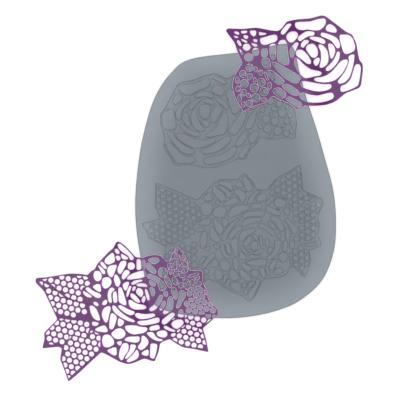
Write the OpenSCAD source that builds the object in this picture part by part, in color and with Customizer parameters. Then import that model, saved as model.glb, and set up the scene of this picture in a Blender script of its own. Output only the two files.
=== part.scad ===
// Silicone slab mould for filigree rose lace, with the two lace castings that
// it makes lying over its corners.  Millimetres, +Z up.  The origin is the
// middle of the slab's flat underside.

/* [Mould] */
// Side-to-side size of the spray lace, which sets the slab's width
spray_width = 130.5; // [105:0.5:160]
// Side-to-side size of the rose lace
rose_width = 98; // [80:1:120]
// Thickness of the silicone slab
slab_thickness = 6; // [4:0.5:12]
// Depth of both cavities, and so the castings' thickness before they shrink
cavity_depth = 1.1; // [0.8:0.1:2.5]
// Silicone left of the spray cavity
left_margin = 4.5; // [4:0.5:14]
// Silicone right of the spray cavity
right_margin = 9; // [4:0.5:18]
// Silicone below the spray cavity
foot_margin = 12; // [6:0.5:24]
// Silicone above the rose cavity
head_margin = 7.5; // [7:0.5:24]
// How far the two cavities' uneven outlines reach past each other
cavity_nesting = 2.5; // [0:0.5:3]

/* [Lace] */
// Diameter of a full dot in the spray's leaves
dot_diameter = 3.7; // [2.5:0.1:3.9]
// Distance between the spray's dots
dot_pitch = 4.7; // [4.6:0.1:6.5]
// Size of a casting over the size of its cavity, after it has set
cast_shrink = 0.99; // [0.95:0.005:1]

/* [Resting castings] */
// Air under a casting where it lies on the slab or the table
seat_gap = 0.15; // [0.05:0.05:0.5]
// Distance over which a casting sags from the slab's edge to the table
sag_length = 18; // [10:1:30]

/* [Hidden] */

silicone_grey = [0.50, 0.54, 0.57];
lace_purple = [0.42, 0.22, 0.50];

slab_step_count = 6;       // straight pieces between two points of the slab's outline
corner_turn = 22;          // most degrees that one facet of a rounded corner turns
corner_reach = 0.45;       // most of a side that one rounded corner may take
petal_round = 1.6;         // rounding of a petal window's corners
cell_round = 0.9;          // rounding of a small leaf cell's corners
outline_round = 1.2;       // rounding of the lace's outer corners
least_cell = 0.8;          // a cut-off dot narrower than this is left out
least_reach_in = 0.9;      // and so is one that reaches less than this over its border
lattice_reach = 12;        // rows of dots tried each way from a field's first dot
dot_sides = 14;
dot_slant = -14;           // direction of the rows of dots
oval_sides = 16;
sag_steps = 5;             // flat strips down the sag

// ---- Plane geometry -------------------------------------------------------

function total(v) = len(v) == 0 ? 0 : [for (x = v) 1] * v;
function unit(v) = v / norm(v);
function at_angle(a) = [cos(a), sin(a)];
function turned(p, a) = [p.x * cos(a) - p.y * sin(a), p.x * sin(a) + p.y * cos(a)];
function lowest(points) = [min([for (p = points) p.x]), min([for (p = points) p.y])];
function highest(points) = [max([for (p = points) p.x]), max([for (p = points) p.y])];

// Furthest reach of the points in the direction of an angle.
function reach(points, a) = max([for (p = points) p * at_angle(a)]);

function edge_distance(p, a, b) =
    let (t = min(1, max(0, (p - a) * (b - a) / ((b - a) * (b - a)))))
    norm(p - a - t * (b - a));

function border_distance(p, loop) =
    min([for (i = [0 : len(loop) - 1]) edge_distance(p, loop[i], loop[(i + 1) % len(loop)])]);

function crossings(p, loop) = total([
    for (i = [0 : len(loop) - 1])
        let (a = loop[i], b = loop[(i + 1) % len(loop)])
        (a.y > p.y) != (b.y > p.y) && p.x < a.x + (b.x - a.x) * (p.y - a.y) / (b.y - a.y) ? 1 : 0
]);

function is_inside(p, loop) = crossings(p, loop) % 2 == 1;

// A loop with each corner replaced by a curve that starts r before it.
function rounded(loop, r) = [
    for (i = [0 : len(loop) - 1])
        let (
            here = loop[i],
            before = loop[(i + len(loop) - 1) % len(loop)] - here,
            after = loop[(i + 1) % len(loop)] - here,
            start = here + unit(before) * min(r, corner_reach * norm(before)),
            end = here + unit(after) * min(r, corner_reach * norm(after)),
            turn = 180 - acos(max(-1, min(1, unit(before) * unit(after)))),
            steps = max(1, ceil(turn / corner_turn))
        )
        for (k = [0 : steps])
            let (t = k / steps)
            start * (1 - t) * (1 - t) + here * 2 * t * (1 - t) + end * t * t
];

// A smooth closed curve through the points.
function smooth_loop(points, steps) = [
    for (i = [0 : len(points) - 1])
        let (
            n = len(points),
            a = points[(i + n - 1) % n],
            b = points[i],
            c = points[(i + 1) % n],
            d = points[(i + 2) % n]
        )
        for (k = [0 : steps - 1])
            let (t = k / steps)
            (2 * b + (c - a) * t + (2 * a - 5 * b + 4 * c - d) * t * t
                + (3 * b - a - 3 * c + d) * t * t * t) / 2
];

// ---- Rose lace: one rose with two leaves, origin at the rose's heart -------

rose_outline = [
    [-62.5, 15], [-61, 16.5], [-50, 16], [-40, 17], [-29, 14.5], [-25, 14], [-22.5, 15.5],
    [-18, 21.5], [-11, 23], [-1, 23.75], [7, 26], [10, 25.5], [20, 18], [25, 14],
    [29.5, 12], [32.5, 6], [34, -3], [35, -7], [37, -9], [37.5, -13], [36, -25],
    [34.5, -27], [25, -30.5], [17, -37], [10, -39.5], [2, -40.5], [-5.5, -40.5],
    [-11.5, -43.5], [-16.5, -39], [-25.5, -35.5], [-28, -33.25], [-31, -35.5], [-33, -38],
    [-43, -41], [-50, -45], [-55.5, -35.5], [-58, -27], [-57, -20], [-50.75, -9.5],
    [-54, -2], [-56, 5],
];

rose_petals = [
    // Outer ring of the rose
    [[-17.5, 20], [-14.25, 19.5], [-20.5, 11], [-22.75, 11.5], [-22.5, 14]],
    [[-10.5, 21], [0, 21.5], [3, 23], [9.75, 24], [10.75, 21], [8.5, 17], [5.5, 15], [0, 15],
        [-3, 15.75], [-6, 14.75], [-10, 15], [-12.25, 17.5], [-12, 20.5]],
    [[13, 20], [16.5, 18.25], [18.5, 15.5], [18, 13.25], [13, 13.75], [10.25, 15], [10.5, 18]],
    [[20.5, 12], [27, 12], [30, 9.5], [32, 3], [31, 0], [27, -2], [25, -2.25], [23, -1],
        [22, 3], [20.25, 9]],
    [[26.5, -4], [29.5, -2.25], [31.25, -2.5], [31, -7], [29.5, -14], [27.5, -19.5], [24, -23],
        [20, -24], [18.75, -22], [21, -19.5], [25, -14], [27.5, -7]],
    [[32, -9.5], [35, -9.5], [36, -12], [35.25, -19], [34, -25], [29, -27.75], [23, -29.75],
        [21, -29.5], [21, -25.5], [25, -24.25], [28.5, -20.5], [30.75, -13]],
    [[-7, -22.5], [-1, -23.25], [6, -24.25], [14.25, -24], [14.75, -26], [13, -28], [8, -29.5],
        [3, -30], [-2, -29], [-7.5, -27], [-9, -24.5]],
    [[-7.5, -30.75], [-2, -32.5], [4, -33], [10, -31], [15, -30], [16.5, -32.5], [15.5, -34.75],
        [9, -37.25], [2, -38.25], [-4, -37.75], [-8.5, -35.5], [-9.5, -33]],
    // Second ring
    [[-16, 13.5], [-12, 13.75], [-10.25, 12], [-10.5, 9.5], [-14, 5.25], [-17, 5.25],
        [-19, 8.5], [-18.5, 11]],
    [[-3, 14.5], [2.25, 14], [2, 11.25], [-2, 10.75], [-6, 8.5], [-8.5, 6], [-10.5, 7],
        [-10.5, 9], [-6.5, 12.75]],
    [[7, 13.75], [13, 12.25], [18, 10], [20, 7.5], [21, 4], [20, 2], [18.25, 2], [16.5, 5],
        [14.5, 7.5], [10, 9.75], [6.5, 11]],
    [[23, -6.25], [26.25, -6], [26.5, -8.5], [24.25, -13.25], [21.5, -17.5], [17, -21.25],
        [11, -23], [3, -22.75], [1, -21.25], [2.5, -19.75], [8, -19], [13.5, -16.25],
        [17.5, -12], [20.5, -8]],
    [[-13, -6], [-10.5, -6.25], [-6, -11], [-1, -14], [6.5, -15], [7.5, -16.5], [6, -18],
        [1, -19], [-3, -20.5], [-6, -20.5], [-10, -16.5], [-13, -11]],
    [[-11.75, 5.5], [-9.75, 5], [-12, 0], [-13.5, -3], [-14, -5.5], [-15.5, -5.75],
        [-16.5, -2.5], [-16, 0.5], [-14, 3.5]],
    // Inner rings and the heart
    [[-1.25, 10.25], [3.5, 10.5], [8, 9.25], [10.25, 7.25], [9.75, 5.25], [7.5, 5.25],
        [4.5, 7], [0.5, 7.75], [-1.75, 9]],
    [[-5.5, 7.75], [-2.25, 7.5], [-2.25, 5.75], [-5, 3.75], [-6.25, 1.5], [-8.25, 2],
        [-8.5, 4.25]],
    [[-1.5, 5], [1.5, 5.25], [4, 2.5], [4.75, -1], [4.25, -3.5], [2.5, -5.25], [0, -5.25],
        [-3, -2], [-4.75, 1], [-4, 3.25]],
    [[5.5, 5], [8, 4.5], [11, 1.5], [12.25, -2], [12.5, -6], [11.75, -9], [9.5, -11.5],
        [6.5, -12.5], [5.5, -11.5], [6.75, -8], [7, -3], [6.5, 0.5], [4.75, 3.5]],
    [[12.25, 5.75], [15.5, 5], [17.5, 1], [16.75, -2.75], [15.25, -5.5], [13.75, -5.5], [13, -1],
        [12, 3.5]],
    [[18.5, -0.25], [20.5, -0.5], [20.75, -3], [19.5, -7.5], [15.5, -12.5], [12, -14.75],
        [10.25, -14], [10.5, -12.25], [14.25, -9], [17.5, -4.25]],
    [[-10.5, 0], [-7.5, 0.25], [-4.5, -2], [-1.75, -5.5], [-0.5, -8.5], [-1.5, -10.25],
        [-4, -10], [-8.5, -6.5], [-12, -4], [-11.75, -1]],
    [[4, -4.75], [6, -5], [5.75, -8], [4, -10.75], [2.5, -11.25], [1, -9], [1.25, -7]],
    // Petals between the rose and its leaves
    [[-24, 6.5], [-20.5, 7.5], [-18.75, 5.5], [-18, -2], [-17, -9.5], [-18, -11],
        [-20.5, -10.75], [-25.25, -8.25], [-25.5, -5], [-25, 3]],
    [[-29.5, -9], [-26.5, -9.25], [-20, -13], [-12, -17.5], [-8, -19.75], [-10.5, -24],
        [-13, -24.25], [-20, -20.5], [-26, -14.5]],
    [[-33, -15], [-29.5, -15], [-25.5, -18], [-21, -21.75], [-20.25, -23.25], [-23, -25],
        [-25, -25], [-29, -21.5], [-32.5, -17.5]],
    [[-22.25, -26], [-19.5, -24.75], [-16.5, -25.5], [-9.75, -30.25], [-9.5, -32],
        [-11.5, -33.25], [-14, -32.75], [-20, -29]],
    [[-28.5, -29], [-25.5, -27.25], [-22.5, -28.25], [-19.25, -31.5], [-19.5, -34.25],
        [-22, -35.25], [-25.5, -33.25], [-28.25, -30.75]],
    [[-19.25, -35], [-17, -33.75], [-12, -36.25], [-7.5, -39], [-8.5, -41], [-11, -41.75],
        [-14, -39.5], [-18.5, -36.5]],
    [[-37.5, 8.75], [-33, 9.75], [-29, 11.25], [-25.75, 11.25], [-25, 8], [-26.5, 5.75],
        [-30.5, 4.75], [-33, 3.5], [-36.5, 3.5], [-38, 6.5]],
    [[-29.5, 4.25], [-26.5, 4.25], [-26.5, -2], [-27.25, -6.75], [-29.25, -7.5],
        [-30.75, -4], [-31, 3]],
    [[-36.5, 0.75], [-32.5, 0.75], [-32.5, -4], [-34, -5.5], [-36.5, -5.25], [-37, -2]],
    [[-36, -6.5], [-32, -6], [-30.5, -9], [-30.25, -13.25], [-33, -13.5], [-36, -11.5],
        [-36.75, -8.5]],
];

rose_leaf_cells = [
    [[-56, 14.25], [-54, 14], [-52.75, 13.25], [-52.75, 11.5], [-54, 11.5], [-56.25, 13]],
    [[-56.75, 11], [-54.5, 10.5], [-53.25, 9.75], [-54, 8.75], [-56, 9.25]],
    [[-51.5, 14.5], [-47, 14.75], [-46.75, 13.25], [-48.5, 12.5], [-51, 12.5]],
    [[-49.75, 11], [-47, 11.25], [-46, 9.75], [-46.75, 8.25], [-48, 8], [-49.5, 9.25]],
    [[-45, 14.75], [-40.5, 14.75], [-40.25, 13], [-41.25, 10.25], [-42.5, 10], [-44.5, 12]],
    [[-51.5, 8.25], [-50, 8], [-47, 6.5], [-47, 5.25], [-48.5, 5.25], [-51, 6.75]],
    [[-54.25, 7.25], [-52.5, 7], [-51.25, 4], [-51.25, 2.75], [-52.75, 2.75], [-54.5, 5.75]],
    [[-42.75, 8], [-39.75, 7.75], [-39.75, 6], [-40.5, 5.25], [-42.5, 6]],
    [[-44.25, 5], [-42, 4.5], [-39.75, 3.75], [-40, 2.25], [-42, 2.25], [-43.5, 3.5]],
    [[-38.5, 13.75], [-36, 13], [-33, 12.5], [-33.25, 11.5], [-35.5, 11], [-38.25, 10.75]],
    [[-53, 0.5], [-51.75, 0], [-50, -3.25], [-51, -3.75]],
    [[-35, -16.5], [-34, -16], [-31.75, -21.5], [-32.75, -22.25]],
    [[-47, -17.75], [-43.5, -17.5], [-43.25, -19], [-45.75, -22.25], [-47.25, -20.75]],
];

// Round and oval leaf cells: [x, y, half width, half height]
rose_leaf_dots = [
    [-47.5, 1.9, 2.75, 2.6], [-41, -1.5, 2.25, 2.9], [-46, -5.5, 3.1, 2.75],
    [-45.5, -13, 2.6, 2.6], [-41, -14.25, 1.1, 1.7], [-37.5, -16.5, 1.7, 1.8],
    [-50.25, -17.5, 2.25, 2.5], [-54.25, -22, 1.3, 2.3], [-41.75, -21.75, 1, 1.4],
    [-49.25, -24.5, 2.9, 2.9], [-37, -23.5, 2.75, 2.75], [-53.75, -28.25, 1.6, 2],
    [-42, -27.5, 2.9, 2.9], [-31, -26, 1.25, 2.4], [-35, -30.25, 2.9, 2.9],
    [-49.75, -31, 1.8, 2.3], [-46, -33, 1.3, 1.4], [-41, -34.75, 3, 3],
    [-52.5, -34.75, 1.2, 2.4], [-35.25, -36, 2, 1.2], [-45.75, -38.75, 2.25, 2.25],
    [-50, -39.25, 1.3, 2.1],
];

// ---- Spray lace: a rose among leaves, origin at the rose's heart -----------

spray_outline = [
    [-73.25, 10.25], [-71.5, 11.25], [-67, 11.25], [-57.5, 12.75], [-48.5, 14.25], [-40, 14],
    [-35.5, 13], [-32.5, 16.25], [-30, 17.25], [-28.5, 21], [-25, 24.75], [-19.5, 30.5],
    [-16.75, 32.5], [-14.5, 37], [-13, 37.75], [-9, 35.75], [-4.5, 31.5], [0, 26.5],
    [5, 26.25], [10, 28], [14.5, 28.5], [18.5, 27.75], [22.5, 23.5], [24.5, 24.25],
    [26, 27], [28.5, 33], [29.75, 34.5], [33.5, 30.5], [37.5, 24.5], [38.5, 17.25],
    [48.5, 16.75], [48.5, 8.5], [52, 1.5], [52.25, -3], [53.5, -5.25], [59, -10.5],
    [60, -14.5], [48.5, -25], [51, -34], [52.75, -43], [42.5, -40.75], [34, -39.5],
    [28, -36], [24.5, -33.5], [20.25, -35], [17.5, -36.5], [16.5, -42.5], [13.5, -49.75],
    [11.75, -49.5], [6, -47.5], [-2, -51], [-6, -51.75], [-11.5, -50.25], [-20, -45.5],
    [-25.25, -43], [-30, -47.25], [-42, -58.5], [-49.25, -64.5], [-51.75, -57],
    [-55.25, -48], [-54, -40], [-56.5, -39], [-68.25, -40.25], [-66.5, -33], [-67, -29],
    [-57.25, -19], [-62, -9], [-67, 1.5], [-73, 7.5],
];

spray_petals = [
    // Petals above the rose
    [[-13.5, 36], [-11, 36], [-4.5, 30.25], [-1, 26], [-2, 24.25], [-4, 24.25], [-5.25, 27.5],
        [-9.5, 29.5], [-13, 33]],
    [[-15.25, 32.25], [-13.5, 32.25], [-11.75, 30], [-12.25, 28.5], [-14.25, 28.5], [-15.5, 30.5]],
    [[-14.5, 27.25], [-12.25, 27.25], [-11, 25.5], [-12, 23.75], [-13.75, 23.75], [-15, 26]],
    [[-10.75, 29], [-8.75, 28], [-5.75, 26.25], [-5.5, 25], [-7, 24.5], [-9.5, 24.5], [-11, 27]],
    [[-17.5, 29.5], [-16, 28.5], [-15.25, 23], [-17.75, 21.5], [-20.5, 20.5], [-23.25, 22.5],
        [-22.5, 25]],
    [[-18.5, 20.25], [-14, 20.75], [-14.25, 18.5], [-16.25, 13.5], [-17.5, 11.25],
        [-19.5, 12], [-21.25, 15.5], [-20.5, 19]],
    [[-25.75, 23], [-24, 22.5], [-21, 18.5], [-21.75, 17.25], [-23.5, 18], [-26.25, 21.25]],
    [[-28, 20.25], [-26.5, 20], [-22.75, 16.5], [-22.25, 14.5], [-23.5, 13.5], [-25, 14.5]],
    [[-30.5, 16], [-27, 16.25], [-25, 14], [-25, 10.5], [-27, 8.5], [-29.5, 8.75], [-31.25, 12]],
    [[-31.75, 5], [-28.5, 6.75], [-26, 6.5], [-25.5, 3.5], [-25.5, 1], [-27.25, 0.75],
        [-31, 3.5]],
    [[-24, 11.25], [-19.75, 11.75], [-17.75, 9.25], [-18, 6.5], [-20.25, 3.75], [-23, 3],
        [-25, 5.5], [-25, 8.5]],
    [[-15.5, 13.75], [-13.75, 13.25], [-11.75, 10], [-11.25, 7.5], [-12.5, 4.75],
        [-14.25, 4.5], [-16, 8], [-16.25, 11]],
    [[-10.75, 23.5], [-6.75, 23.75], [-7, 20.5], [-9, 17.25], [-11, 13.75], [-12.75, 14],
        [-13.75, 16.75], [-12.75, 20.25]],
    [[-5.25, 22.5], [-2, 22.75], [-0.25, 20.5], [-1, 18], [-3.5, 17], [-5.75, 17.75], [-6, 20]],
    [[-8, 17], [-5.25, 17], [-4, 14.75], [-6.75, 12.5], [-8.25, 10], [-10.25, 10], [-10.5, 13]],
    [[0.75, 25], [3.75, 25], [4.25, 18.5], [3, 17.25], [0.75, 17.25]],
    [[5, 24.75], [6.75, 24.5], [7.25, 18.75], [6, 17.75], [5.25, 18.5]],
    [[-6.5, 10], [-6.5, 11.5], [-4, 13.75], [0, 15.5], [4.5, 16.75], [7, 16.75], [7.75, 13.5],
        [6, 12.25], [4.5, 11.5], [0, 10.75], [-4, 10]],
    [[9, 24.75], [12, 26], [16, 26], [17.25, 24.25], [15.5, 22.25], [13, 21.5], [10.5, 23]],
    [[8.25, 22.5], [9.75, 22.25], [15, 16.75], [14.5, 14.75], [12.5, 15], [8, 18.25]],
    [[8.25, 12.75], [9.25, 14.5], [14, 13.25], [19, 9.75], [22.25, 5], [21.25, 3], [18.25, 2.25],
        [17.25, 3.5], [16.5, 7.25], [14, 10], [9, 11.5]],
    // Heart of the rose
    [[-3.5, 7.5], [-1, 9.5], [4.5, 10.5], [5.25, 9.25], [1, 8], [-1.25, 6.25], [-3.25, 6.5]],
    [[0.25, 6.5], [2, 7.5], [6, 7.75], [8.25, 6.5], [8.5, 5], [5.5, 5.25], [1.5, 5.25]],
    [[-9.75, 6.5], [-7, 8.5], [-4.75, 8.25], [-5.25, 6], [-7, 2], [-8.25, 1.75], [-9.75, 4.5]],
    [[-4.5, 5.75], [-3, 5.25], [-4, 2.5], [-5.5, -1.75], [-6.25, -3], [-7, -2.5], [-7, 0.5],
        [-6, 3]],
    [[-1.75, 5.25], [0.25, 5], [0, 3.75], [-1.25, 1.75], [-2.75, 1.75], [-2.5, 3.75]],
    [[1.25, 4.25], [3.75, 4], [5.5, 2], [5.5, -0.5], [4.25, -2.5], [3, -2.25], [-0.25, 0.75]],
    [[6.75, 3.5], [8, 3.5], [9.5, 0], [10.25, -3], [9.75, -4.75], [8.75, -4.75], [7.25, -1]],
    [[6, -1.25], [7, -1.75], [7.25, -4.25], [6, -6.5], [5, -6.5], [4, -4.25]],
    [[-4, 0], [-1.75, 0], [2.25, -3.75], [3.5, -6], [2.25, -6.75], [0, -6.25], [-4.25, -2.5]],
    [[-5.5, -5], [-3.5, -4.75], [0, -7.25], [6.75, -8.25], [8, -9.75], [6.75, -11.25],
        [-1, -12], [-4, -10.5], [-5.5, -8]],
    [[10, 9.75], [12.25, 9.5], [14.75, 7.25], [14.25, 5.75], [12.25, 5.75], [10.5, 7]],
    [[10.25, 5], [12.75, 4.5], [14, 2.25], [13.5, -1], [12.25, -1.75], [11, 1]],
    [[-19.25, 3.5], [-17, 4.25], [-15.25, 2.5], [-17.5, 1], [-18.25, -1], [-17.5, -7],
        [-19.5, -7.25], [-20.75, -4], [-20.75, 0]],
    [[-16.5, 1], [-14.75, 1.5], [-13.75, -1], [-13.75, -7], [-16.25, -7.25], [-17, -4],
        [-17, -1]],
    [[-13, 4], [-11, 4.5], [-9.5, 1.5], [-7, -7], [-7.25, -9], [-9.25, -8.75], [-12.75, -6.5]],
    // Petals right of the rose
    [[17.5, 18.5], [20, 19], [22.5, 17.75], [23.25, 15.25], [22, 12.75], [19.5, 12],
        [17.25, 13], [16.25, 15.5]],
    [[21.25, 12], [23.25, 12.5], [25.25, 9], [26.25, 6], [25.25, 4.5], [24, 4.75], [21, 9.75]],
    [[26.5, 12], [29, 11.5], [30.75, 9], [30.25, 6.5], [28.25, 6.5], [26.5, 9]],
    [[20.75, 2], [22.5, 1.75], [23.5, 0.25], [22.75, -1.75], [21.25, -1.5], [20.25, 0]],
    [[26.25, 4.5], [28.25, 5], [30, 2.25], [30.25, -1.5], [29.5, -4], [28.25, -3.75],
        [27, -0.5], [25.75, 2.25]],
    [[31.5, 2], [34, 2.5], [36.25, 0.75], [36, -1.5], [33.75, -5], [31.75, -9.5], [30, -10.25],
        [29.25, -9], [31, -5], [31.5, -1.5]],
    [[31.75, -11.25], [33.75, -11.25], [35, -16.5], [33, -17], [30.25, -16.25]],
    [[17.5, -0.75], [19.75, -1], [19.25, -4], [16.5, -8.5], [14, -11.75], [11, -12.75],
        [9.75, -11.5], [10.25, -10], [13.5, -8], [16, -4]],
    [[20, -5], [21.5, -5], [21.5, -7.75], [19.75, -11], [18.25, -12], [17.25, -11.25],
        [18.25, -8.5]],
    [[24, -2], [26.5, -2], [27.25, -5], [27, -10], [25.5, -12.25], [21.5, -14.75],
        [19.75, -14.25], [20, -12.5], [22.5, -9.5], [23.25, -5]],
    [[26, -13.5], [27.75, -13.75], [28.5, -15.25], [26.5, -17.5], [22, -22], [20, -22.75],
        [18.75, -21.25], [19, -19], [23, -15.75]],
    [[27.4, -17.7], [28.5, -17.2], [28.2, -18], [26.9, -18.9], [26.2, -18.7]],
    [[27, -19.75], [30, -18.5], [33.5, -18.5], [34.75, -20.25], [34.25, -22.5], [31.5, -25],
        [29.5, -26], [27, -24.75], [25.5, -22.25]],
    [[20.25, -23.75], [22, -23.25], [23.75, -24.75], [28.5, -26.75], [28.5, -28], [26, -28],
        [22.5, -26.75], [20.25, -25.25]],
    // Petals under the rose
    [[-13.25, -9], [-11, -8.75], [-5, -12.25], [-0.75, -13.25], [-1.5, -15.5], [-4, -16.25],
        [-7.5, -15], [-12.5, -11]],
    [[-17.5, -9], [-15.25, -9], [-12.75, -12.5], [-7, -17], [-0.75, -20], [-1, -21.25],
        [-4, -21], [-8.5, -19.25], [-13.5, -16.25], [-17, -12.75]],
    [[-0.75, -15], [1, -14], [5.5, -15], [13.5, -14], [14.5, -15.75], [12.5, -17], [6, -18.75],
        [2, -18.75], [-0.75, -16.75]],
    [[0.5, -21.25], [2.25, -20], [7, -19.75], [15.5, -17], [17.25, -17.5], [17.25, -20.5],
        [15.5, -21.5], [6, -23.5], [2.25, -23]],
    [[-22.5, -10], [-19.25, -9.25], [-18.25, -11], [-20, -17], [-20.75, -21], [-22.5, -21.75],
        [-25, -17], [-24.75, -13]],
    [[-18.25, -14.5], [-16.25, -14.75], [-14, -17], [-14.25, -20], [-16.25, -25.25],
        [-17.75, -26.75], [-19.5, -26], [-19.5, -20]],
    [[-13, -18], [-11, -18.75], [-8.5, -20.5], [-9.5, -23.25], [-11.75, -24.5],
        [-13.5, -23.5]],
    [[-8.25, -23.75], [-1, -23.25], [4, -24.75], [8, -24.75], [8.5, -26.75], [6, -29],
        [-1.5, -30.25], [-5, -29.25], [-7.75, -26.5]],
    [[9.75, -24.5], [13, -23.25], [16.75, -22.5], [17.5, -25.5], [16.25, -26.5], [13, -27.25],
        [9.75, -27.25]],
    [[16.5, -27.5], [20.5, -26.75], [22.75, -28.25], [22.75, -31], [20.75, -32.5], [17, -32],
        [15, -30.25], [15, -28.5]],
    [[7.5, -29], [9.5, -28.25], [12.5, -28.25], [13.75, -31], [16, -33], [19.5, -33.75],
        [19.25, -35], [15.5, -35], [11.5, -33.25], [9, -31]],
    [[-16.5, -27.5], [-13.5, -25.5], [-10, -25.75], [-7.75, -28.25], [-7.75, -30.75],
        [-10, -33], [-13.5, -33.75], [-16, -32.75], [-18.5, -29.75]],
    [[-24, -31], [-22, -30], [-19.25, -30.25], [-16.25, -33.75], [-15.75, -37], [-18, -38.75],
        [-21, -39.75], [-23.75, -39], [-24.75, -36], [-24.75, -33]],
    [[-21.5, -41.75], [-18.5, -40.25], [-15.5, -39.25], [-14.25, -39.75], [-14, -44.5],
        [-15.5, -45.75], [-19, -44]],
    [[-14, -35.5], [-10.5, -34.75], [-10.25, -36.5], [-11.75, -38.5], [-13.75, -37]],
    [[-9.5, -36.25], [-5.75, -36.5], [-5.25, -40], [-6.25, -43], [-8.5, -45.5], [-9.5, -48.5],
        [-11, -49], [-12.5, -47], [-12.5, -43], [-11, -39]],
    [[-4.25, -37.25], [-0.25, -37.5], [-0.25, -40], [-3, -44.5], [-6.5, -47.75], [-8.25, -48],
        [-7.25, -45], [-4.75, -42], [-4.25, -39.5]],
    [[0.75, -41], [2, -43.5], [2, -46], [0.5, -48], [-3, -49.75], [-6, -50.5], [-7.25, -49.25],
        [-2.25, -44.75], [-0.25, -41.75]],
    [[-8.75, -33.75], [-6, -31.75], [2.5, -31.5], [2.75, -33.5], [2, -35.5], [-0.5, -36.25],
        [-7.5, -35]],
    [[4, -31], [6, -31], [9, -34.25], [9, -37], [6, -40.5], [3.25, -41.75], [1.25, -40],
        [1.5, -38.5], [3.5, -36.25], [4, -33.5]],
    [[6.5, -41.5], [9, -41], [9.25, -43.5], [8.75, -45.75], [5.5, -45.5], [3.5, -44]],
    [[10.5, -36.5], [15.5, -37], [15.25, -40.5], [13.75, -46.5], [12.75, -48], [10, -47],
        [10.25, -41]],
    // Petals towards the big leaves
    [[-36.75, 3.75], [-34.75, 4.5], [-31, 1.25], [-26, -0.5], [-25.25, -2.5], [-26.75, -3.75],
        [-29.5, -3.25], [-36.5, 2]],
    [[-38.75, 1.75], [-37.25, 1.25], [-32, -2.25], [-33, -3.5], [-36, -2.75], [-38.5, -0.5]],
    [[-31.5, -7], [-29.75, -6], [-27.25, -7.75], [-27.5, -9.5], [-29.75, -9.25]],
    [[-24.25, -6.25], [-22.5, -4.75], [-21, -5.25], [-21, -7.25], [-22.75, -9], [-25, -8.5]],
    [[-34, -9.25], [-31.5, -9], [-28.5, -12], [-26.25, -18.25], [-26.25, -20], [-28.5, -20],
        [-31.5, -18], [-33.5, -13]],
    [[-32, -21], [-30, -20.75], [-26.75, -21.75], [-28.25, -23.75], [-31, -24], [-32.25, -22.75]],
    [[-30, -26.25], [-26.5, -24.25], [-22.5, -23.25], [-20.5, -26.75], [-21, -28.5], [-25, -28.5],
        [-29.5, -27.5]],
    [[37.25, 12.25], [38.75, 13.75], [45.25, 15.25], [46, 14.25], [43, 13], [39, 11.75]],
];

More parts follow.
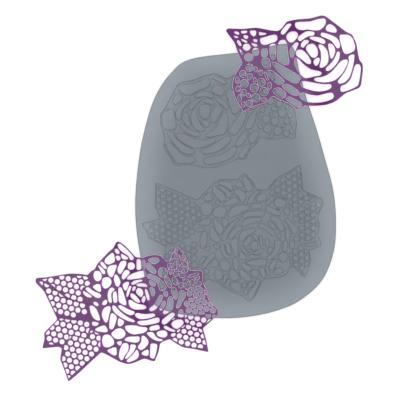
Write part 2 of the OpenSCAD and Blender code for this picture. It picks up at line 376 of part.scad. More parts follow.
// Fields of dots: [a dot's place, the loop that its dots stay inside]
spray_dot_fields = [
    // Upper left leaf, above and below its vein
    [[-46.75, 1.25], [[-68.5, 9.9], [-64.5, 10.5], [-61.5, 11.3], [-54.5, 12.5], [-48.25, 12.8],
        [-40, 12.4], [-36, 12], [-32.25, 7.75], [-35, 5.5], [-38.5, 4.2], [-39.75, 2.4],
        [-39.5, -1], [-38.25, -4.5], [-39.75, -6.25], [-44.5, -5.1], [-48.75, -3.6], [-54, 0], [-57.25, 2.5], [-60.25, 5.2],
        [-63.25, 6.9], [-65.5, 7.9]]],
    [[-47, -11.25], [[-70.5, 8.2], [-68.75, 8.5], [-65.75, 6.8], [-63.75, 5.75], [-61, 4.2],
        [-58, 1.5], [-54.75, -1], [-49.5, -4.7], [-44.75, -6.25], [-40, -7.4], [-36.75, -8.25],
        [-36.75, -9.5], [-35.5, -12], [-35.25, -15.4], [-37.75, -15.7], [-39.5, -15],
        [-42.5, -14.9], [-43.25, -17.3], [-44, -19], [-49.25, -18.3], [-53.5, -17], [-56.5, -17.3],
        [-60, -11.5], [-63.5, -3.5], [-65.5, 0.7], [-66.75, 3]]],
    // Middle left leaf
    [[-53.25, -22.75], [[-56.75, -19.6], [-54.5, -18.4], [-51.75, -19.1], [-49.25, -19.4],
        [-45.5, -19.9], [-40, -20], [-35.75, -20.9], [-33.5, -21.9], [-33.25, -24.5],
        [-34.5, -27.3], [-35.5, -30.8], [-36.5, -32.5], [-39.25, -31.9], [-43.25, -30.8],
        [-47, -30.3], [-49.25, -31], [-49.25, -33.4], [-50.75, -34.1], [-51.75, -35.7],
        [-53, -37.4], [-62.75, -37.4], [-65.25, -35.2], [-66, -32], [-65.5, -29], [-61.5, -24.6],
        [-59.75, -22.7]]],
    // Lower left leaf
    [[-47.75, -36.25], [[-48.5, -31.3], [-47, -31.2], [-43.25, -31.7], [-39.25, -32.9],
        [-36.5, -33.6], [-35.25, -33.1], [-34.25, -30.8], [-33, -27.4], [-31, -27.4],
        [-30, -28.4], [-27.5, -29.4], [-26, -29.9], [-26, -38.5], [-26.5, -42.4], [-30.75, -45.7],
        [-36.5, -50.7], [-42.75, -56.1], [-48, -61], [-49.25, -62.3], [-49.5, -60.9],
        [-51, -57], [-52.25, -53.2], [-53.9, -48.3], [-53.25, -45.5], [-52.5, -41.5],
        [-52.25, -38.5], [-51, -36.7], [-50.25, -34.9], [-48.5, -34]]],
    // Upper right leaf
    [[32.5, 18], [[29.5, 32.5], [31.75, 30.5], [33.5, 28.2], [36.25, 24], [37.25, 21.4],
        [37.5, 16.8], [36.5, 14.4], [36, 11.8], [31.5, 11.7], [28.25, 12.9], [24.75, 14.6],
        [23.5, 19.2], [23.25, 21.4], [24.5, 23.1], [26, 25.1], [27.5, 28.3], [28.75, 31.1]]],
    // Right leaf, above and below its vein
    [[37.5, 5], [[34.25, 10.6], [38.5, 10.7], [42.75, 11.4], [45.5, 12.5], [47.25, 12.6],
        [47.5, 9.1], [48.25, 6.8], [50.75, 1.8], [51.25, -2.1], [51, -3.3], [48, -3.3],
        [43.5, -2.6], [39.5, -2.1], [37.75, -1.2], [37.25, 1.2], [35, 4], [31.5, 4.4],
        [31.25, 6.1], [31.5, 8.3]]],
    [[41.75, -8.25], [[38.5, -3.4], [41, -3.1], [45, -3.7], [49.75, -4.4], [51.75, -4.8],
        [52.75, -5.8], [56.5, -9.4], [58, -11.2], [58.5, -13.4], [55.25, -13.8], [51.5, -14.1],
        [47.5, -14.4], [43, -14.5], [38.5, -13.8], [36.5, -13], [35.25, -11.2], [34.75, -8.4],
        [35.25, -6], [36.5, -4.8]]],
    [[44.5, -17.75], [[35.5, -14.2], [36.5, -14.1], [38.5, -14.9], [43, -15.5], [47.5, -15.4],
        [51.5, -15.1], [56, -14.8], [57.5, -15.3], [52.75, -19.8], [49, -23.2], [44, -24.1],
        [41.25, -22.9], [38.25, -21.6], [35.75, -20], [35.75, -17]]],
    // Lower right leaf
    [[39.5, -28.75], [[25.25, -31.1], [25.75, -29.3], [28.25, -28.9], [29.75, -28],
        [30, -26.8], [31.5, -25.9], [34.25, -23.6], [35.25, -22.9], [37.75, -22.5],
        [40, -23.4], [43, -24.6], [46, -25.2], [47.75, -26.1], [49.5, -32.2], [50.75, -37.4],
        [48.75, -40.2], [41.75, -39.5], [35.25, -38.6], [31.25, -36.6], [27, -34.1],
        [25.5, -32.9]]],
];

// ---- The two laces as flat patterns, scaled to their driving widths --------

rose_scale = rose_width / (highest(rose_outline) - lowest(rose_outline)).x;
spray_scale = spray_width / (highest(spray_outline) - lowest(spray_outline)).x;

function lattice(place, pitch, slant, count) = [
    for (i = [-count : count])
        for (j = [-count : count])
            place + turned([pitch * (i + j / 2), pitch * j * sin(60)], slant)
];

// Places of a field's dots, also of those that only reach in over its border.
function field_dots(place, loop) = [
    for (p = lattice(place, dot_pitch, dot_slant, lattice_reach))
        if (is_inside(p, loop) || border_distance(p, loop) <= dot_diameter / 2 - least_reach_in)
            p
];

module windows(loops, scale, r) {
    for (loop = loops)
        polygon(rounded(loop * scale, r));
}

module oval(place, half_w, half_h) {
    polygon([
        for (i = [0 : oval_sides - 1])
            let (a = 360 * i / oval_sides)
            place + [half_w * cos(a), half_h * sin(a)]
    ]);
}

module dot(place) {
    polygon([
        for (i = [0 : dot_sides - 1])
            place + dot_diameter / 2 * at_angle(dot_slant + 360 * i / dot_sides)
    ]);
}

// A field's dots, cut off at its border, without the slivers that this leaves.
module dot_field(place, loop) {
    offset(delta = least_cell / 2) offset(delta = -least_cell / 2)
    intersection() {
        polygon(loop);
        for (p = field_dots(place, loop))
            dot(p);
    }
}

module rose_lace() {
    difference() {
        polygon(rounded(rose_outline * rose_scale, outline_round));
        windows(rose_petals, rose_scale, petal_round);
        windows(rose_leaf_cells, rose_scale, cell_round);
        for (d = rose_leaf_dots * rose_scale)
            oval([d[0], d[1]], d[2], d[3]);
    }
}

module spray_lace() {
    difference() {
        polygon(rounded(spray_outline * spray_scale, outline_round));
        windows(spray_petals, spray_scale, petal_round);
        for (field = spray_dot_fields)
            dot_field(field[0] * spray_scale, field[1] * spray_scale);
    }
}

// ---- Layout ----------------------------------------------------------------

// A cavity is its casting's mirror image, turned on the slab.
rose_turn = 205;
rose_cavity_shift = -5;    // middle of the rose cavity from the slab's middle
spray_turn = 19;

function mirrored_turned(loop, a) = [for (p = loop) turned([p.x, -p.y], a)];

rose_in_slab = mirrored_turned(rose_outline * rose_scale, rose_turn);
spray_in_slab = mirrored_turned(spray_outline * spray_scale, spray_turn);

spray_size = highest(spray_in_slab) - lowest(spray_in_slab);
rose_size = highest(rose_in_slab) - lowest(rose_in_slab);

// The slab is narrower at its rose end, where this share of its width is left.
rose_end_share = 0.8;
side_margins = left_margin + right_margin;
slab_width = side_margins + max(spray_size.x, (rose_size.x + side_margins) / rose_end_share - side_margins);
slab_length = foot_margin + spray_size.y - cavity_nesting + rose_size.y + head_margin;

// Shape of the poured slab's edge, stretched to the slab's width and length.
slab_shape = [
    [-54, -88.5], [-37, -93.5], [-10, -96], [12, -94.5], [31, -90], [46, -83], [61, -69],
    [69, -49], [70.5, -27], [68.5, -6], [63, 15], [57, 36], [50, 57], [44.5, 78],
    [41, 92], [34, 96], [7, 90.5], [-31, 85.5], [-46, 75], [-57, 58], [-64, 36],
    [-68, 15], [-70.5, -12], [-69.5, -36], [-65, -62], [-60, -81],
];
lower_left = 0;            // these two corners' places in the list
upper_right = 14;
slab_shape_size = highest(slab_shape) - lowest(slab_shape);
slab_corners = [
    for (p = slab_shape)
        [p.x * slab_width / slab_shape_size.x, p.y * slab_length / slab_shape_size.y]
];
slab_outline = smooth_loop(slab_corners, slab_step_count);

slab_left = lowest(slab_outline).x;
slab_foot = lowest(slab_outline).y;
spray_cavity_corner = [slab_left + left_margin, slab_foot + foot_margin];
rose_cavity_corner = [
    rose_cavity_shift - rose_size.x / 2,
    spray_cavity_corner.y + spray_size.y - cavity_nesting
];
spray_cavity_at = spray_cavity_corner - lowest(spray_in_slab);
rose_cavity_at = rose_cavity_corner - lowest(rose_in_slab);

// The castings' hearts lie just off the slab's upper right and lower left corners.
rose_off_corner = [13, -0.5];
spray_off_corner = [-16.5, 10];
rose_casting_at = slab_corners[upper_right] + rose_off_corner * rose_scale;
spray_casting_at = slab_corners[lower_left] + spray_off_corner * spray_scale;

// Directions in which each casting hangs over the slab's edge.
rose_overhangs = [15, 99];
spray_overhangs = [194, 262];

// ---- Pieces ------------------------------------------------------------------

module mould_slab() {
    color(silicone_grey)
    difference() {
        linear_extrude(slab_thickness) polygon(slab_outline);
        translate([0, 0, slab_thickness - cavity_depth])
        linear_extrude(cavity_depth + 1) {
            translate(rose_cavity_at) rotate(rose_turn) mirror([0, 1]) rose_lace();
            translate(spray_cavity_at) rotate(spray_turn) mirror([0, 1]) spray_lace();
        }
    }
}

// Share of the slab's height left at a share t of the way down the sag.
function sag(t) = 1 - 3 * t * t + 2 * t * t * t;

beyond = slab_length + spray_width;    // past everything, from the origin

// Everything under a cloth that lies on the slab and sags past its edge
// towards one direction; lift raises the cloth's surface.
module under_sag(direction, lift) {
    start = reach(slab_outline, direction);
    surface = [
        for (k = [0 : sag_steps])
            let (t = k / sag_steps)
            [start + t * sag_length, lift + slab_thickness * sag(t)]
    ];
    rotate(direction) rotate([90, 0, 0])
    linear_extrude(2 * beyond, center = true)
    polygon(concat(
        [[-beyond, -1], [-beyond, lift + slab_thickness]],
        surface,
        [[beyond, lift], [beyond, -1]]
    ));
}

module under_cloth(directions, lift) {
    intersection() {
        under_sag(directions[0], lift);
        under_sag(directions[1], lift);
    }
}

// A flat pattern laid over the slab's edge as a cloth of the casting's thickness.
module draped(directions) {
    difference() {
        intersection() {
            linear_extrude(slab_thickness + 2 * cavity_depth + 1) children();
            under_cloth(directions, seat_gap + cavity_depth * cast_shrink);
        }
        under_cloth(directions, seat_gap);
    }
}

module rose_casting() {
    color(lace_purple)
    draped(rose_overhangs)
    translate(rose_casting_at) scale(cast_shrink) rose_lace();
}

module spray_casting() {
    color(lace_purple)
    draped(spray_overhangs)
    translate(spray_casting_at) scale(cast_shrink) spray_lace();
}

mould_slab();
rose_casting();
spray_casting();
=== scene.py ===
"""Finished look of a silicone lace mould and of the two lace castings that lie over its corners."""
import math

import bmesh
import bpy
import numpy as np
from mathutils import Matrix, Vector
from mathutils.bvhtree import BVHTree


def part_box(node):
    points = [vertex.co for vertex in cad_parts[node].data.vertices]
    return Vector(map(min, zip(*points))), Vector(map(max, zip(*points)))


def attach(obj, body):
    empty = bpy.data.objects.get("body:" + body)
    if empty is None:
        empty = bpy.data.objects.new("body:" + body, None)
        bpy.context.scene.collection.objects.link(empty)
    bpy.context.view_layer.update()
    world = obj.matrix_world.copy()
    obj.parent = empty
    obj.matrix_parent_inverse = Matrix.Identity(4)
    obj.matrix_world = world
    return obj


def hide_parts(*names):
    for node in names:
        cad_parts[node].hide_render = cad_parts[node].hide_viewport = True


bl_info = {
    "name": "Silicone Lace Mould",
    "version": (1, 0, 0),
    "blender": (4, 5, 0),
    "location": "3D View > Sidebar > Lace Mould",
    "description": "Builds a silicone slab mould with its lace castings, and a studio to show them in",
    "category": "Object",
}

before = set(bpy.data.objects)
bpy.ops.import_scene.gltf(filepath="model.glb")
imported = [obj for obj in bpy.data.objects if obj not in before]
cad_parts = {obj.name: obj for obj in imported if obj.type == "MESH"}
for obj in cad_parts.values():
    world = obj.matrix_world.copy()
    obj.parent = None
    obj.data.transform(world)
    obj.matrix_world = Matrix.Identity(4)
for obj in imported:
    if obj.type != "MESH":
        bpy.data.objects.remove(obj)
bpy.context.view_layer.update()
MM = 0.001

SLAB_NODE = "mould_slab"
SLAB_LOW, SLAB_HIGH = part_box(SLAB_NODE)
SLAB_TOP = SLAB_HIGH.z

WELD = 1e-6           # vertices nearer than this are one
DECIMALS = 6          # places on the plan are compared to this many decimals
LEVEL = 0.9           # a face is level when its normal's upward part is over this
UPRIGHT = 0.3         # and upright when it is under this
FACES_UP = 0.5        # a face is on top when its normal's upward part is over this
FLAT_TURN = math.radians(0.5)  # faces that turn less than this are one flat face
SMOOTH_ANGLE = math.radians(50)
FACE_WEIGHT = 80      # how much more a large face counts in the smooth shading
GROOVE_STEPS, EDGE_STEPS, FOOT_STEPS, RIM_STEPS = 2, 5, 3, 3  # faces across each rounding
SAG_SLICES = 12       # cuts across the stretch where a casting sags

# Noise scales, in waves across a metre
TABLE_GRAIN, SHADE_CLOUDS, LACE_CLOUDS = 60, 28, 110
SILICONE_SKIN, SILICONE_GRAIN, LACE_GRAIN = 240, 2600, 1800
BUMP_DEPTH = 0.1 * MM

# The clouds are random tone laid over the silicone's painted edge light.
SHADE_WANDER = 0.25   # how far the clouds move the silicone's shade
DULL_START, DULL_RISE = 0.42, 5  # clouds over the start turn the lace dull, this fast

TABLE_SIDE = 4.0
TABLE_GREYS = (0.30, 0.30, 0.30), (0.33, 0.33, 0.33)
SENSOR = 36.0         # width of the camera's film in millimetres

CASTINGS = {
    "rose_casting": {"body": "rose_lace", "sags_towards": (math.radians(15), math.radians(99))},
    "spray_casting": {"body": "spray_lace", "sags_towards": (math.radians(194), math.radians(262))},
}


# ---- Settings ----------------------------------------------------------------


class SlabSettings(bpy.types.PropertyGroup):
    """Finish of the silicone slab."""

    edge_round: bpy.props.FloatProperty(
        name="Edge round", description="Rounding of the slab's upper edge",
        default=1.2 * MM, unit="LENGTH")
    foot_round: bpy.props.FloatProperty(
        name="Foot round", description="Rounding of the slab's lower edge",
        default=0.5 * MM, unit="LENGTH")
    groove_round: bpy.props.FloatProperty(
        name="Groove round", description="Rounding of the cavities' upper edges",
        default=0.22 * MM, unit="LENGTH")
    # Painted light: over this band the silicone is painted paler towards the slab's edge.
    edge_light_band: bpy.props.FloatProperty(
        name="Shade band", description="Width over which the silicone lightens towards its edge",
        default=24 * MM, unit="LENGTH")
    # Painted light: the slab gets points this far apart to carry its painted edge light.
    edge_light_step: bpy.props.FloatProperty(
        name="Shade step", description="Spacing of the points that carry the shade",
        default=7 * MM, unit="LENGTH")
    middle_colour: bpy.props.FloatVectorProperty(
        name="Middle", description="Silicone in the middle of the slab", subtype="COLOR",
        default=(0.137, 0.161, 0.184))
    # Painted light: the paler silicone colour painted at the slab's edge.
    edge_light_colour: bpy.props.FloatVectorProperty(
        name="Edge", description="Silicone near the slab's edge", subtype="COLOR",
        default=(0.216, 0.249, 0.280))


class LaceSettings(bpy.types.PropertyGroup):
    """Finish of the lace castings."""

    rim_round: bpy.props.FloatProperty(
        name="Rim round", description="Rounding of the lace's rims",
        default=0.25 * MM, unit="LENGTH")
    sag_length: bpy.props.FloatProperty(
        name="Sag length", description="Distance over which a casting sags to the table",
        default=18 * MM, unit="LENGTH")
    body_colour: bpy.props.FloatVectorProperty(
        name="Lace", description="Purple of the lace", subtype="COLOR",
        default=(0.096, 0.014, 0.118))
    worn_colour: bpy.props.FloatVectorProperty(
        name="Dull lace", description="Greyer purple of the lace's dull patches", subtype="COLOR",
        default=(0.118, 0.034, 0.138))
    # Painted highlight: the brighter purple painted on the lace's rims.
    rim_highlight_colour: bpy.props.FloatVectorProperty(
        name="Rim", description="Brighter purple of the lace's thin rims", subtype="COLOR",
        default=(0.400, 0.040, 0.460))
    # Painted light: the lace is painted paler where it lies on the silicone.
    pale_light_colour: bpy.props.FloatVectorProperty(
        name="Lace on silicone", description="Paler purple where the lace lies on the silicone",
        subtype="COLOR", default=(0.112, 0.028, 0.138))
    # Painted highlight: the lilac rims painted where the lace lies on the silicone.
    pale_rim_highlight_colour: bpy.props.FloatVectorProperty(
        name="Rim on silicone", description="Lilac rims where the lace lies on the silicone",
        subtype="COLOR", default=(0.960, 0.690, 0.990))
    # Painted light: the width over which that paler painted light fades in at the slab's edge.
    pale_light_reach: bpy.props.FloatProperty(
        name="Pale reach", description="Distance over which the lace pales at the slab's edge",
        default=2.5 * MM, unit="LENGTH")


class StageSettings(bpy.types.PropertyGroup):
    """Table, light and camera."""

    view_width: bpy.props.FloatProperty(
        name="View width", description="Width of the table that the camera sees",
        default=280 * MM, unit="LENGTH")
    view_middle: bpy.props.FloatVectorProperty(
        name="View middle", description="Point of the table under the camera", size=2,
        default=(-25 * MM, -13.3 * MM), subtype="XYZ", unit="LENGTH")
    room_light: bpy.props.FloatProperty(
        name="Room light", description="Strength of the even light from all round", default=0.45)
    table_glow: bpy.props.FloatProperty(
        name="Table glow", description="Light that the white table gives off", default=0.66)
    lamp_height: bpy.props.FloatProperty(
        name="Lamp height", description="Height of the soft lamps over the table",
        default=1.0, unit="LENGTH")
    lamp_side: bpy.props.FloatProperty(
        name="Lamp side", description="Side of each square soft lamp", default=0.45, unit="LENGTH")
    lamp_reach: bpy.props.FloatProperty(
        name="Lamp reach", description="How far from the middle the soft lamps hang",
        default=0.38, unit="LENGTH")
    lamp_powers: bpy.props.FloatVectorProperty(
        name="Lamp powers", description="Power in watts of the right, back, left and front lamps",
        size=4, default=(2.05, 2.8, 3.1, 1.95))
    lens: bpy.props.FloatProperty(
        name="Lens", description="Focal length of the camera", default=85, unit="CAMERA")


# ---- Helpers -----------------------------------------------------------------


def deselect_all():
    if bpy.context.object and bpy.context.object.mode != "OBJECT":
        bpy.ops.object.mode_set(mode="OBJECT")
    bpy.ops.object.select_all(action="DESELECT")


def make_active(piece):
    deselect_all()
    piece.select_set(True)
    bpy.context.view_layer.objects.active = piece


def copy_of_node(node, name):
    """A new piece with a merged copy of a CAD node's mesh, active and in edit mode."""
    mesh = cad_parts[node].data.copy()
    mesh.materials.clear()
    mesh.name = name
    piece = bpy.data.objects.new(name, mesh)
    bpy.context.scene.collection.objects.link(piece)
    make_active(piece)
    bpy.ops.object.mode_set(mode="EDIT")
    bpy.ops.mesh.select_all(action="SELECT")
    bpy.ops.mesh.remove_doubles(threshold=WELD)
    return piece


def select_edges(piece, wanted):
    """Selects, in edit mode, the edges for which wanted(edge) is true."""
    bpy.ops.mesh.select_mode(type="EDGE")
    bpy.ops.mesh.select_all(action="DESELECT")
    work = bmesh.from_edit_mesh(piece.data)
    for edge in work.edges:
        edge.select = wanted(edge)
    work.select_flush_mode()
    bmesh.update_edit_mesh(piece.data)


def select_faces(piece, wanted):
    """Selects, in edit mode, the faces for which wanted(face) is true."""
    bpy.ops.mesh.select_mode(type="FACE")
    bpy.ops.mesh.select_all(action="DESELECT")
    work = bmesh.from_edit_mesh(piece.data)
    for face in work.faces:
        face.select = wanted(face)
    work.select_flush_mode()
    bmesh.update_edit_mesh(piece.data)


def is_rim(edge):
    """Whether an edge joins a level face and an upright one and stands out."""
    if len(edge.link_faces) != 2:
        return False
    steep = sorted(abs(face.normal.z) for face in edge.link_faces)
    return steep[0] < UPRIGHT and steep[1] > LEVEL and edge.is_convex


def bevel_selected(width, steps):
    bpy.ops.mesh.bevel(
        offset=width, offset_type="OFFSET", segments=steps, profile=0.5,
        affect="EDGES", clamp_overlap=False)


def finish_shading(piece):
    """Smooth shading that keeps level faces flat up to their rounded rims."""
    make_active(piece)
    bpy.ops.object.shade_smooth_by_angle(angle=SMOOTH_ANGLE)
    bpy.ops.object.modifier_add(type="WEIGHTED_NORMAL")
    piece.modifiers[-1].keep_sharp = True
    piece.modifiers[-1].weight = FACE_WEIGHT
    bpy.ops.object.modifier_apply(modifier=piece.modifiers[-1].name)


# ---- Shader maths ------------------------------------------------------------


class Socket:
    """A shader socket with arithmetic: each operator adds its Math node."""

    def __init__(self, tree, output):
        self.tree = tree
        self.output = output

    def maths(self, operation, *others):
        nodes = make_node(self.tree, "ShaderNodeMath", {"operation": operation},
                          dict(enumerate((self, *others))))
        return nodes.out()

    def __add__(self, other):
        return self.maths("ADD", other)

    __radd__ = __add__

    def __mul__(self, other):
        return self.maths("MULTIPLY", other)

    __rmul__ = __mul__

    def __sub__(self, other):
        return self.maths("SUBTRACT", other)

    def __rsub__(self, other):
        return (self * -1) + other

    def clamped(self):
        return self.maths("MAXIMUM", 0).maths("MINIMUM", 1)


class Built:
    """A node that was added, which hands out its outputs as sockets."""

    def __init__(self, tree, node):
        self.tree = tree
        self.node = node

    def out(self, name=0):
        return Socket(self.tree, self.node.outputs[name])


def make_node(tree, kind, settings=None, inputs=None):
    """Adds a node, sets its settings first, and then its sockets' values or links."""
    node = tree.nodes.new(kind)
    for key, value in (settings or {}).items():
        setattr(node, key, value)
    for key, value in (inputs or {}).items():
        if isinstance(value, Socket):
            tree.links.new(value.output, node.inputs[key])
        else:
            node.inputs[key].default_value = value
    return Built(tree, node)


def new_material(name):
    material = bpy.data.materials.new(name)
    material.use_nodes = True
    material.node_tree.nodes.clear()
    return material, material.node_tree


def mixed(tree, factor, first, second):
    """A colour between two colours."""
    node = make_node(tree, "ShaderNodeMix", {"data_type": "RGBA"},
                     {0: factor, 6: as_colour(first), 7: as_colour(second)})
    return node.out(2)


def as_colour(value):
    return value if isinstance(value, Socket) else (*value, 1)


def noise(tree, place, scale, detail=2.0):
    return make_node(tree, "ShaderNodeTexNoise", {},
                     {"Vector": place, "Scale": scale, "Detail": detail}).out("Fac")


def object_place(tree):
    return make_node(tree, "ShaderNodeTexCoord").out("Object")


def bumped(tree, height, strength):
    """The surface's normal, roughened by a varying height."""
    return make_node(tree, "ShaderNodeBump", {},
                     {"Strength": strength, "Distance": BUMP_DEPTH, "Height": height}).out("Normal")


def attribute(tree, name):
    """A value that is stored on the mesh's points."""
    return make_node(tree, "ShaderNodeAttribute", {"attribute_name": name}).out("Fac")


def finish_material(tree, colour, roughness, normal, **steady):
    """Ends a material in one Principled shader. Steady values go straight on its sockets."""
    inputs = {"Base Color": colour, "Roughness": roughness, "Normal": normal}
    inputs.update({name.replace("_", " "): value for name, value in steady.items()})
    shader = make_node(tree, "ShaderNodeBsdfPrincipled", {}, inputs)
    make_node(tree, "ShaderNodeOutputMaterial", {}, {"Surface": shader.out()})


def silicone_material(settings):
    """Matt grey silicone, with painted light that makes it paler towards the slab's edge."""
    material, tree = new_material("grey_silicone")
    place = object_place(tree)
    middle = attribute(tree, "middle")
    cloud = noise(tree, place, SHADE_CLOUDS, 3)
    # Painted light: the silicone is painted paler towards the slab's edge, with random clouds of tone
    # over it.
    shade = (middle + (cloud - 0.5) * SHADE_WANDER).clamped()
    colour = mixed(tree, shade, settings.edge_light_colour, settings.middle_colour)
    grain = noise(tree, place, SILICONE_GRAIN)
    skin = noise(tree, place, SILICONE_SKIN, 3)
    finish_material(tree, colour, 0.42 + skin * 0.16, bumped(tree, grain * 0.5 + skin, 0.25),
                    Specular_IOR_Level=0.4, Subsurface_Weight=0.1, Subsurface_Scale=0.002)
    return material


def lace_material(settings):
    """Satin purple lace with painted highlights on its rims, and painted light that makes it paler
    where it lies on the silicone.
    """
    material, tree = new_material("purple_lace")
    place = object_place(tree)
    # Painted highlight: the mask of rim points that take the painted rim colours.
    rim = attribute(tree, "rim")
    cloud = noise(tree, place, LACE_CLOUDS, 3)
    dull = ((cloud - DULL_START) * DULL_RISE).clamped()
    # Painted light: on_slab paints the lace paler over the silicone and turns its rim highlight lilac
    # there.
    on_slab = attribute(tree, "on_slab")
    lace = mixed(tree, dull, settings.body_colour, settings.worn_colour)
    # Painted light: the lace painted paler where it lies on the silicone.
    lace = mixed(tree, on_slab, lace, settings.pale_light_colour)
    # Painted highlight: bright purple rims over the table and lilac ones over the silicone.
    rims = mixed(tree, on_slab, settings.rim_highlight_colour, settings.pale_rim_highlight_colour)
    colour = mixed(tree, rim, lace, rims)
    grain = noise(tree, place, LACE_GRAIN)
    finish_material(tree, colour, 0.34 + cloud * 0.14, bumped(tree, grain + cloud, 0.2),
                    Specular_IOR_Level=0.3)
    return material


def table_material(settings):
    """Grey glass of a light table, which its own glow turns white."""
    material, tree = new_material("light_table")
    place = object_place(tree)
    grain = noise(tree, place, TABLE_GRAIN)
    colour = mixed(tree, grain, *TABLE_GREYS)
    finish_material(tree, colour, 0.7, bumped(tree, grain, 0.02),
                    Emission_Color=(1, 1, 1, 1), Emission_Strength=settings.table_glow)
    return material


# ---- Shapes ------------------------------------------------------------------


def flat_key(place):
    """A place on the plan, rounded for looking it up."""
    return round(place[0], DECIMALS), round(place[1], DECIMALS)


def foot_edges(piece):
    """The slab's outline as pairs of points on the plan, from the rim of its underside."""
    work = bmesh.from_edit_mesh(piece.data)
    return [tuple(v.co.xy.to_tuple() for v in edge.verts) for edge in work.edges
            if is_rim(edge) and all(v.co.z < SLAB_LOW.z + WELD for v in edge.verts)]


def distance_to(outline, points):
    """How far each point is from the nearest stretch of an outline, on the plan."""
    nearest = np.full(len(points), np.inf)
    for first, second in outline:
        start, along = np.array(first), np.subtract(second, first)
        share = np.clip((points - start) @ along / (along @ along), 0, 1)
        gap = points - start - share[:, None] * along
        nearest = np.minimum(nearest, np.hypot(gap[:, 0], gap[:, 1]))
    return nearest


def shares_over_slab(places, reach):
    """For each place the share of five points, itself and four about it, that are over the slab."""
    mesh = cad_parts[SLAB_NODE].data
    slab = BVHTree.FromPolygons([v.co for v in mesh.vertices],
                                [face.vertices for face in mesh.polygons])
    steps = ((0, 0), (reach, 0), (-reach, 0), (0, reach), (0, -reach))
    above, down = 2 * SLAB_TOP, Vector((0, 0, -1))

    def is_over_slab(x, y):
        return slab.ray_cast(Vector((x, y, above)), down)[0] is not None

    return [sum(is_over_slab(x + along, y + across) for along, across in steps) / len(steps)
            for x, y in places[:, :2]]


def store_values(piece, name, values):
    """Stores one value per vertex, for the piece's material to read."""
    stored = piece.data.attributes.new(name, "FLOAT", "POINT")
    stored.data.foreach_set("value", np.array(values, dtype=np.float32))


def slice_up(piece, direction, first, last, count):
    """Cuts the piece, in edit mode, by planes square to a level direction."""
    for number in range(count + 1):
        place = first + (last - first) * number / count
        bpy.ops.mesh.select_all(action="SELECT")
        bpy.ops.mesh.bisect(plane_co=direction * place, plane_no=direction, threshold=WELD)


def smooth_step(t):
    t = np.clip(t, 0, 1)
    return t * t * (3 - 2 * t)


class MOULD_OT_slab(bpy.types.Operator):
    """Build the silicone slab with its two filigree cavities"""

    bl_idname = "lace_mould.slab"
    bl_label = "Silicone Slab"

    def execute(self, context):
        settings = context.scene.lace_slab
        slab = copy_of_node(SLAB_NODE, "silicone_slab")
        bpy.ops.mesh.dissolve_limited(angle_limit=FLAT_TURN)
        outline = foot_edges(slab)
        on_outline = {flat_key(place) for edge in outline for place in edge}

        def is_outer(edge):
            return is_rim(edge) and all(flat_key(v.co) in on_outline for v in edge.verts)

        def is_top(edge):
            return all(v.co.z > SLAB_TOP - WELD for v in edge.verts)

        select_edges(slab, lambda edge: is_rim(edge) and is_top(edge) and not is_outer(edge))
        bevel_selected(settings.groove_round, GROOVE_STEPS)
        select_edges(slab, lambda edge: is_outer(edge) and is_top(edge))
        bevel_selected(settings.edge_round, EDGE_STEPS)
        select_edges(slab, lambda edge: is_outer(edge) and not is_top(edge))
        bevel_selected(settings.foot_round, FOOT_STEPS)
        # Extra cuts give the slab points that carry its painted edge light.
        for direction, low, high in ((Vector((1, 0, 0)), SLAB_LOW.x, SLAB_HIGH.x),
                                     (Vector((0, 1, 0)), SLAB_LOW.y, SLAB_HIGH.y)):
            slice_up(slab, direction, low, high, round((high - low) / settings.edge_light_step))
        bpy.ops.object.mode_set(mode="OBJECT")

        points = np.array([v.co.xy for v in slab.data.vertices])
        # Painted light: 0 at the slab's edge, rising to 1 a band's width inside. The material paints
        # the silicone paler where this is low.
        store_values(slab, "middle", smooth_step(distance_to(outline, points) / settings.edge_light_band))
        finish_shading(slab)
        slab.data.materials.append(silicone_material(settings))
        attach(slab, "mould")
        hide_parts(SLAB_NODE)
        return {"FINISHED"}


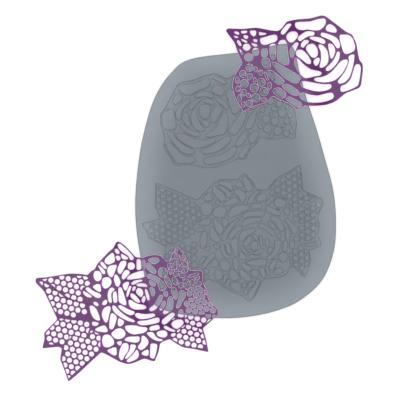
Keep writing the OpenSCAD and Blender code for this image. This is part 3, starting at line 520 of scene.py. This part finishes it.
class MOULD_OT_casting(bpy.types.Operator):
    """Build one lace casting, draped over the slab's edge"""

    bl_idname = "lace_mould.casting"
    bl_label = "Lace Casting"

    node: bpy.props.StringProperty(name="CAD node", description="Casting to build")
    body: bpy.props.StringProperty(name="Body", description="Body that the casting moves with")
    sags_towards: bpy.props.FloatVectorProperty(
        name="Sags towards", description="Directions in which the casting hangs over the slab's edge",
        size=2, subtype="EULER")

    def execute(self, context):
        settings = context.scene.lace_casting
        low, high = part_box(self.node)
        thickness = high.z - SLAB_TOP - low.z
        casting = copy_of_node(self.node, self.node.replace("casting", "lace"))
        select_faces(casting, lambda face: face.normal.z < FACES_UP)
        bpy.ops.mesh.delete(type="FACE")
        bpy.ops.mesh.select_all(action="SELECT")
        bpy.ops.transform.resize(value=(1, 1, 0), center_override=(0, 0, 0))
        bpy.ops.mesh.dissolve_limited(angle_limit=FLAT_TURN)
        bpy.ops.mesh.select_all(action="SELECT")
        bpy.ops.mesh.extrude_region_move(TRANSFORM_OT_translate={"value": (0, 0, thickness)})
        bpy.ops.mesh.select_all(action="SELECT")
        bpy.ops.mesh.normals_make_consistent(inside=False)
        select_edges(casting, is_rim)
        bevel_selected(settings.rim_round, RIM_STEPS)

        corners = [v.co.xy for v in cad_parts[SLAB_NODE].data.vertices]
        sags = []
        for angle in self.sags_towards:
            direction = Vector((math.cos(angle), math.sin(angle)))
            start = max(corner.dot(direction) for corner in corners)
            sags.append((direction, start))
            slice_up(casting, direction.to_3d(), start, start + settings.sag_length, SAG_SLICES)
        bpy.ops.object.mode_set(mode="OBJECT")

        places = np.array([v.co for v in casting.data.vertices])
        # Painted highlight: marks the points on the rounded rims and walls, which the material paints
        # brighter.
        store_values(casting, "rim", (places[:, 2] > WELD) & (places[:, 2] < thickness - WELD))
        # Painted light: marks where the lace lies over the silicone, for the paler painted colours
        # there.
        store_values(casting, "on_slab", shares_over_slab(places, settings.pale_light_reach))
        height = np.full(len(places), SLAB_TOP)
        for direction, start in sags:
            height *= 1 - smooth_step((places[:, :2] @ direction - start) / settings.sag_length)
        places[:, 2] += low.z + height
        casting.data.vertices.foreach_set("co", places.ravel())
        casting.data.update()
        finish_shading(casting)
        casting.data.materials.append(lace_material(settings))
        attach(casting, self.body)
        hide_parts(self.node)
        return {"FINISHED"}


class MOULD_OT_studio(bpy.types.Operator):
    """Lay the white table, hang the soft lights and place the camera above it"""

    bl_idname = "lace_mould.studio"
    bl_label = "Studio"

    def execute(self, context):
        settings = context.scene.lace_stage
        deselect_all()
        bpy.ops.mesh.primitive_plane_add(size=TABLE_SIDE, location=(0, 0, SLAB_LOW.z))
        table = context.object
        table.name = "table"
        table.data.materials.append(table_material(settings))

        world = bpy.data.worlds.new("soft_room")
        context.scene.world = world
        world.use_nodes = True
        world.node_tree.nodes["Background"].inputs["Color"].default_value = (1, 1, 1, 1)
        world.node_tree.nodes["Background"].inputs["Strength"].default_value = settings.room_light

        for quarter, power in enumerate(settings.lamp_powers):
            angle = quarter * math.pi / 2
            place = Vector((settings.lamp_reach * math.cos(angle),
                            settings.lamp_reach * math.sin(angle), settings.lamp_height))
            bpy.ops.object.light_add(type="AREA", location=place)
            lamp = context.object
            lamp.data.size = settings.lamp_side
            lamp.data.energy = power
            lamp.rotation_euler = (-place).to_track_quat("-Z", "Y").to_euler()

        middle = Vector(settings.view_middle)
        half = math.atan(SENSOR / 2 / settings.lens)
        distance = settings.view_width / 2 / math.tan(half)
        place = (middle.x, middle.y, SLAB_TOP + distance)
        bpy.ops.object.camera_add(location=place, rotation=(0, 0, 0))
        camera = context.object
        camera.data.lens = settings.lens
        camera.data.sensor_width = SENSOR
        context.scene.camera = camera
        context.scene.view_settings.view_transform = "Standard"
        return {"FINISHED"}


class MOULD_PT_panel(bpy.types.Panel):
    """Lists the pieces and their settings"""

    bl_idname = "MOULD_PT_panel"
    bl_label = "Lace Mould"
    bl_space_type = "VIEW_3D"
    bl_region_type = "UI"
    bl_category = "Lace Mould"

    def draw(self, context):
        scene = context.scene
        for settings in (scene.lace_slab, scene.lace_casting, scene.lace_stage):
            box = self.layout.box()
            for name in settings.__annotations__:
                box.prop(settings, name)
        self.layout.operator("lace_mould.slab")
        for node, values in CASTINGS.items():
            button = self.layout.operator("lace_mould.casting", text=node.replace("_", " "))
            for name, value in values.items():
                setattr(button, name, value)
            button.node = node
        self.layout.operator("lace_mould.studio")


# ---- Registration ------------------------------------------------------------

CLASSES = (SlabSettings, LaceSettings, StageSettings, MOULD_OT_slab, MOULD_OT_casting,
           MOULD_OT_studio, MOULD_PT_panel)


def register():
    for each in CLASSES:
        bpy.utils.register_class(each)
    bpy.types.Scene.lace_slab = bpy.props.PointerProperty(type=SlabSettings)
    bpy.types.Scene.lace_casting = bpy.props.PointerProperty(type=LaceSettings)
    bpy.types.Scene.lace_stage = bpy.props.PointerProperty(type=StageSettings)


def unregister():
    del bpy.types.Scene.lace_slab
    del bpy.types.Scene.lace_casting
    del bpy.types.Scene.lace_stage
    for each in reversed(CLASSES):
        bpy.utils.unregister_class(each)


def main():
    register()
    bpy.ops.lace_mould.slab()
    for node, values in CASTINGS.items():
        bpy.ops.lace_mould.casting(node=node, **values)
    bpy.ops.lace_mould.studio()


if __name__ == "__main__":
    main()
